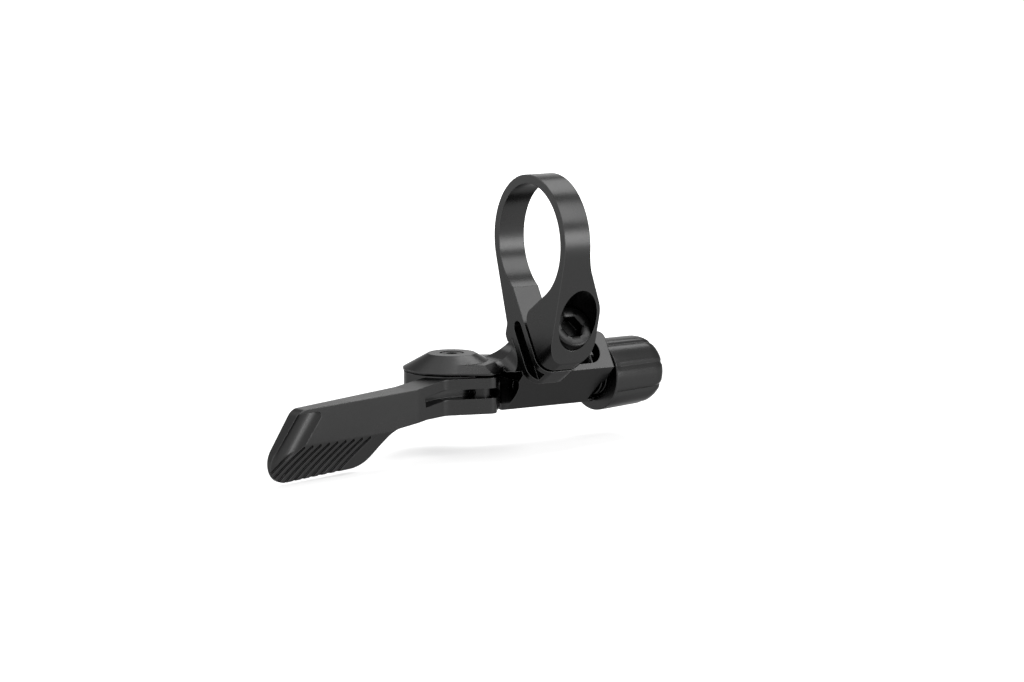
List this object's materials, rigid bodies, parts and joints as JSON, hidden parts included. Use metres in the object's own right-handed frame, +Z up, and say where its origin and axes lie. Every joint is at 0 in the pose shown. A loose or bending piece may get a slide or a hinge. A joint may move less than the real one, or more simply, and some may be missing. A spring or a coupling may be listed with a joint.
{
  "type": "dropper post remote lever",
  "caption": "Handlebar-clamped thumb lever on a bearing pivot, with a cable fork, slotted bracket, hinge-free split clamp and barrel adjuster.",
  "frame": {"origin": "centre of the handlebar bore, in the middle of the band's width", "axes": "+X along the handlebar towards the stem, +Y away from the rider, +Z up along the lever's pivot"},
  "size_m": [0.0941, 0.0352, 0.0532],
  "materials": {
    "black_anodised": "satin black anodised",
    "black_steel": "black oxide",
    "bearing_steel": "ground and polished",
    "seal_rubber": "matt"
  },
  "bodies": {
    "handlebar_clamp": {"clamp_band": "black_anodised", "clamp_bolt": "black_steel", "clamp_washer": "black_steel", "clamp_nut": "black_steel"},
    "bracket_body": {"bracket": "black_anodised", "pivot_axle": "black_anodised", "pivot_screw": "black_steel", "upper_shim": "bearing_steel", "inner_spacer": "bearing_steel", "upper_inner_ring": "bearing_steel", "lower_inner_ring": "bearing_steel", "adjuster_spring": "black_steel"},
    "thumb_lever": {"lever": "black_anodised", "upper_outer_ring": "bearing_steel", "upper_balls": "bearing_steel", "upper_shields": "bearing_steel", "lower_outer_ring": "bearing_steel", "lower_balls": "bearing_steel", "lower_shields": "bearing_steel"},
    "wire_anchor": {"cable_anchor": "black_steel", "pinch_screw": "black_steel"},
    "adjuster_travel": {"adjuster_o_ring": "seal_rubber"},
    "adjuster_knob": {"barrel_adjuster": "black_anodised"}
  },
  "joints": [
    {"name": "bracket_shift", "type": "slide", "parent": "handlebar_clamp", "child": "bracket_body", "axis": [1, 0, 0], "range_m": [-0.0107, 0]},
    {"name": "lever_pivot", "type": "hinge", "parent": "bracket_body", "child": "thumb_lever", "pos_m": [-0.0123, 0.013, -0.029], "axis": [0, 0, 1], "range_deg": [-38, 0]},
    {"name": "anchor_swivel", "type": "hinge", "parent": "thumb_lever", "child": "wire_anchor", "pos_m": [-0.01082, 0.00503, -0.0287], "axis": [0, 0, 1], "range_deg": [0, 38]},
    {"name": "adjuster_advance", "type": "slide", "parent": "bracket_body", "child": "adjuster_travel", "axis": [0.9833, 0.1822, 0], "range_m": [0, 0.0033]},
    {"name": "adjuster_turn", "type": "hinge", "parent": "adjuster_travel", "child": "adjuster_knob", "pos_m": [0.0214, 0.011, -0.0287], "axis": [0.9833, 0.1822, 0], "range_deg": [0, 1440]}
  ],
  "couplings": [
    {"joint": "anchor_swivel", "follows": "lever_pivot", "ratio": -1},
    {"joint": "adjuster_advance", "follows": "adjuster_turn", "m_per_rad": 0.00012732}
  ]
}
